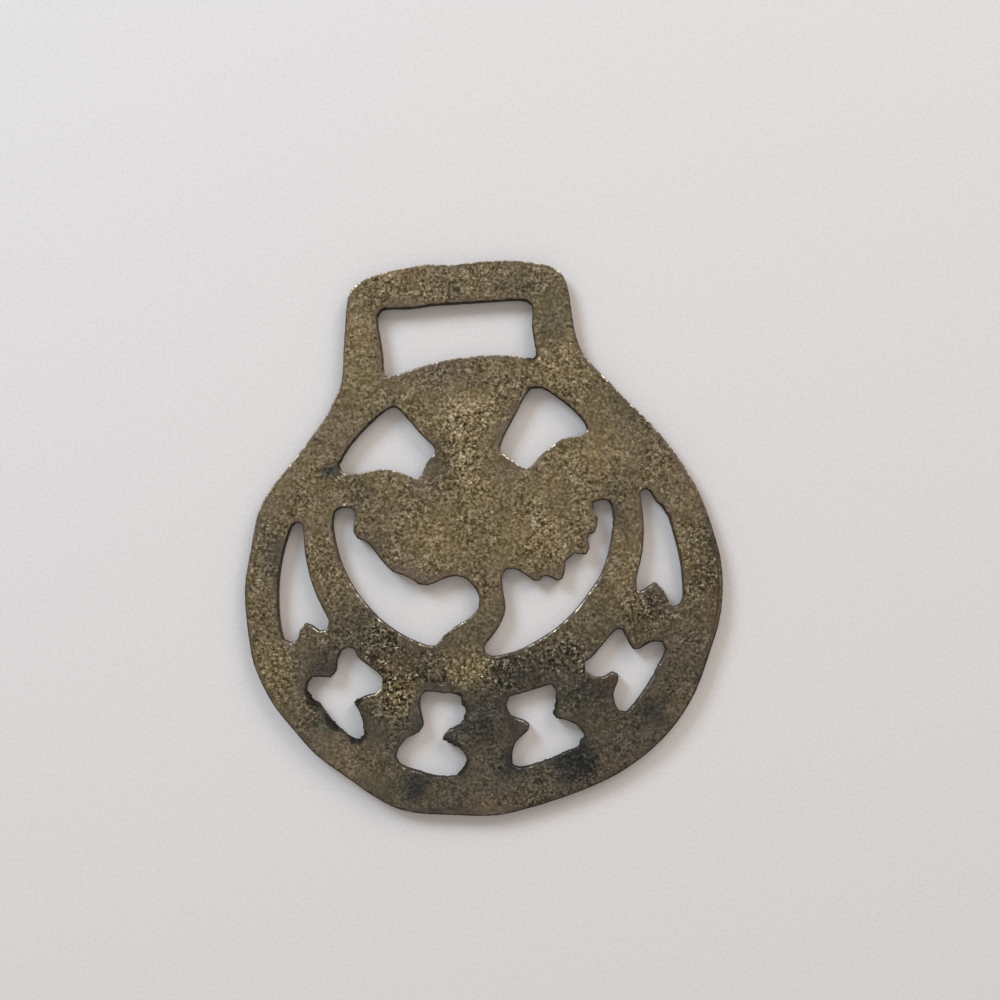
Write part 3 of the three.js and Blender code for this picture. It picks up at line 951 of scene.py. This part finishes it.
def aged_brass(finish):
    """Brown and olive patina over brass, worn to gold on the grains that stand up."""
    material, tree, shader = empty_material("Aged brass")
    vector = object_millimetres(tree)
    grain = place_group(tree, grain_group(), Vector=vector, Size=finish.grain_size / MM)
    mottle = place_group(tree, mottle_group(), Vector=vector, Size=MOTTLE_SIZE)
    edge = place_group(tree, edge_group(), Vector=vector,
                       Width=math_node(tree, "MULTIPLY", attribute(tree, "banding"),
                                       BAND_WIDTH),
                       Distance=attribute(tree, "edge_distance"),
                       Facing=attribute(tree, "edge_facing"),
                       Rough=attribute(tree, "rough_edge"))

    speckled = attribute(tree, "specks")
    strength = grain_strength(tree, edge, mottle)
    swing = grain_swing(tree, grain, strength, speckled, finish.grain_contrast)
    groove = math_node(tree, "MULTIPLY", edge["Groove"], attribute(tree, "lip"), clamp=True)
    # Worn edges facing the lamps, lightened as a painted highlight.
    wear_and_highlight = rubbed_metal_and_highlight(tree, grain, edge)
    bareness_and_highlight = math_node(tree, "MULTIPLY", wear_and_highlight, finish.edge_wear_and_highlight)
    tone = face_tone(tree, grain, mottle, edge, swing, speckled)
    tone = edge_tone(tree, tone, grain, edge, groove, bareness_and_highlight)
    tree.links.new(patina_color(tree, finish, tone, mottle, edge, groove),
                   shader.inputs["Base Color"])

    metallic = map_range(tree, tone, DULL_TONE, BRIGHT_TONE, *METALLIC, smooth=False)
    tree.links.new(metallic, shader.inputs["Metallic"])
    roughness = map_range(tree, tone, DULL_TONE, BRIGHT_TONE, *ROUGHNESS, smooth=False)
    roughness = mix_values(tree, wear_and_highlight, roughness, RUBBED_ROUGHNESS)
    tree.links.new(roughness, shader.inputs["Roughness"])
    shader.inputs["Specular IOR Level"].default_value = 0.30

    bump = tree.nodes.new("ShaderNodeBump")
    bump.inputs["Strength"].default_value = 1.0
    bump.inputs["Distance"].default_value = BUMP_DEPTH
    tree.links.new(math_node(tree, "MULTIPLY", grain["Height"], strength),
                   bump.inputs["Height"])
    tree.links.new(bump.outputs["Normal"], shader.inputs["Normal"])
    return material


def paper_material(stage):
    """Smooth pale paper with a faint tooth."""
    material, tree, shader = empty_material("Pale paper")
    vector = object_millimetres(tree)
    tooth = noise_node(tree, vector, 1.9, detail=3.0, roughness=0.6)
    pale = tuple(stage.paper)
    shade = tuple(0.93 * c for c in pale)
    color = mix_colors(tree, map_range(tree, tooth, 0.25, 0.60), (*shade, 1.0), (*pale, 1.0))
    tree.links.new(color, shader.inputs["Base Color"])
    shader.inputs["Roughness"].default_value = 0.9
    shader.inputs["Specular IOR Level"].default_value = 0.2
    bump = tree.nodes.new("ShaderNodeBump")
    bump.inputs["Strength"].default_value = 0.35
    bump.inputs["Distance"].default_value = 0.03 * MM
    tree.links.new(tooth, bump.inputs["Height"])
    tree.links.new(bump.outputs["Normal"], shader.inputs["Normal"])
    return material


# ---- Stage -----------------------------------------------

LAMP_DISTANCE = 0.90
COOL_SIZE, WARM_SIZE = 0.36, 0.55
LAMP_HEIGHT_ANGLE = math.radians(34)
COOL_BEARING = math.radians(128)         # measured from +X, so both stand beyond the loop
WARM_BEARING = math.radians(52)
COOL = (0.72, 0.89, 1.00)
WARM = (1.00, 0.92, 0.80)
ROOM = (1.00, 0.94, 0.82)
PAPER_REACH = 6.0
AIM = (3.5 * MM, 5.9 * MM)               # point of the face in the middle of the picture


def make_paper(stage):
    """A flat sheet of paper under the casting."""
    sheet = bmesh.new()
    bmesh.ops.create_grid(sheet, x_segments=1, y_segments=1, size=PAPER_REACH)
    mesh = bpy.data.meshes.new("paper_floor")
    sheet.to_mesh(mesh)
    sheet.free()
    floor = bpy.data.objects.new("paper_floor", mesh)
    bpy.context.scene.collection.objects.link(floor)
    mesh.materials.append(paper_material(stage))


def make_lamp(name, bearing, size, power, color):
    """A soft round lamp that looks at the casting from a bearing."""
    light = bpy.data.lights.new(name, "AREA")
    light.shape = "DISK"
    light.size = size
    light.energy = power
    light.color = color
    lamp = bpy.data.objects.new(name, light)
    bpy.context.scene.collection.objects.link(lamp)
    level = LAMP_DISTANCE * math.cos(LAMP_HEIGHT_ANGLE)
    place = Vector((level * math.cos(bearing), level * math.sin(bearing),
                    LAMP_DISTANCE * math.sin(LAMP_HEIGHT_ANGLE)))
    lamp.location = place
    lamp.rotation_euler = (-place).to_track_quat("-Z", "Y").to_euler()


def make_room(stage):
    """Even light from all round."""
    world = bpy.data.worlds.new("Room")
    world.use_nodes = True
    background = world.node_tree.nodes["Background"]
    background.inputs["Color"].default_value = (*ROOM, 1.0)
    background.inputs["Strength"].default_value = stage.fill
    bpy.context.scene.world = world


def make_camera(stage):
    """A camera straight over the casting, rolled by the casting's turn."""
    data = bpy.data.cameras.new("Camera")
    data.angle = 2 * math.atan(0.5 * stage.view_width / stage.camera_height)
    data.clip_start = 0.01
    camera = bpy.data.objects.new("Camera", data)
    bpy.context.scene.collection.objects.link(camera)
    face_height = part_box(PLATE)[1].z
    camera.location = (*AIM, face_height + stage.camera_height)
    camera.rotation_euler = (0.0, 0.0, -stage.turn)
    bpy.context.scene.camera = camera


# ---- Operators and panel ---------------------------------

class HORSEBRASS_OT_casting(bpy.types.Operator):
    """Builds the casting: fine skin, sand texture, filed edges and patina"""
    bl_idname = "horse_brass.casting"
    bl_label = "Build the casting"
    bl_options = {"REGISTER", "UNDO"}

    def execute(self, context):
        shape = context.scene.brass_shape
        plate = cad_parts[PLATE]
        piece = merged_copy(plate, CASTING)
        even_skin(piece, shape.mesh_step)
        roughen(piece, shape)
        thin_skin(piece, shape)
        mark_finish(piece)
        piece.data.polygons.foreach_set("use_smooth", [True] * len(piece.data.polygons))
        piece.data.materials.clear()
        piece.data.materials.append(aged_brass(context.scene.brass_finish))
        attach(piece, "root")
        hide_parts(PLATE)
        return {"FINISHED"}


class HORSEBRASS_OT_stage(bpy.types.Operator):
    """Sets up the paper, the soft lamps, the room light and the camera"""
    bl_idname = "horse_brass.stage"
    bl_label = "Set up the stage"
    bl_options = {"REGISTER", "UNDO"}

    def execute(self, context):
        stage = context.scene.brass_stage
        make_paper(stage)
        make_lamp("Cool lamp", COOL_BEARING, COOL_SIZE, stage.cool_power, COOL)
        make_lamp("Warm lamp", WARM_BEARING, WARM_SIZE, stage.warm_power, WARM)
        make_room(stage)
        make_camera(stage)
        context.scene.view_settings.view_transform = "Standard"
        return {"FINISHED"}


class HORSEBRASS_PT_panel(bpy.types.Panel):
    """Lists what builds the horse brass and the values that can be changed"""
    bl_idname = "HORSEBRASS_PT_panel"
    bl_label = "Horse Brass"
    bl_space_type = "VIEW_3D"
    bl_region_type = "UI"
    bl_category = "Horse Brass"

    def draw(self, context):
        layout = self.layout
        scene = context.scene
        for title, settings, operator in (
                ("Casting", scene.brass_shape, HORSEBRASS_OT_casting.bl_idname),
                ("Patina", scene.brass_finish, None),
                ("Stage", scene.brass_stage, HORSEBRASS_OT_stage.bl_idname)):
            box = layout.box()
            box.label(text=title)
            for name in settings.__annotations__:
                box.prop(settings, name)
            if operator:
                box.operator(operator)


CLASSES = (BrassShape, BrassFinish, BrassStage, HORSEBRASS_OT_casting,
           HORSEBRASS_OT_stage, HORSEBRASS_PT_panel)


def register():
    """Makes the operators, the panel and the scene's settings known to Blender."""
    for cls in CLASSES:
        bpy.utils.register_class(cls)
    bpy.types.Scene.brass_shape = bpy.props.PointerProperty(type=BrassShape)
    bpy.types.Scene.brass_finish = bpy.props.PointerProperty(type=BrassFinish)
    bpy.types.Scene.brass_stage = bpy.props.PointerProperty(type=BrassStage)


def unregister():
    """Takes back what register made."""
    del bpy.types.Scene.brass_stage
    del bpy.types.Scene.brass_finish
    del bpy.types.Scene.brass_shape
    for cls in reversed(CLASSES):
        bpy.utils.unregister_class(cls)


def main():
    """Builds the casting and its stage."""
    register()
    bpy.ops.horse_brass.casting()
    bpy.ops.horse_brass.stage()


if __name__ == "__main__":
    main()
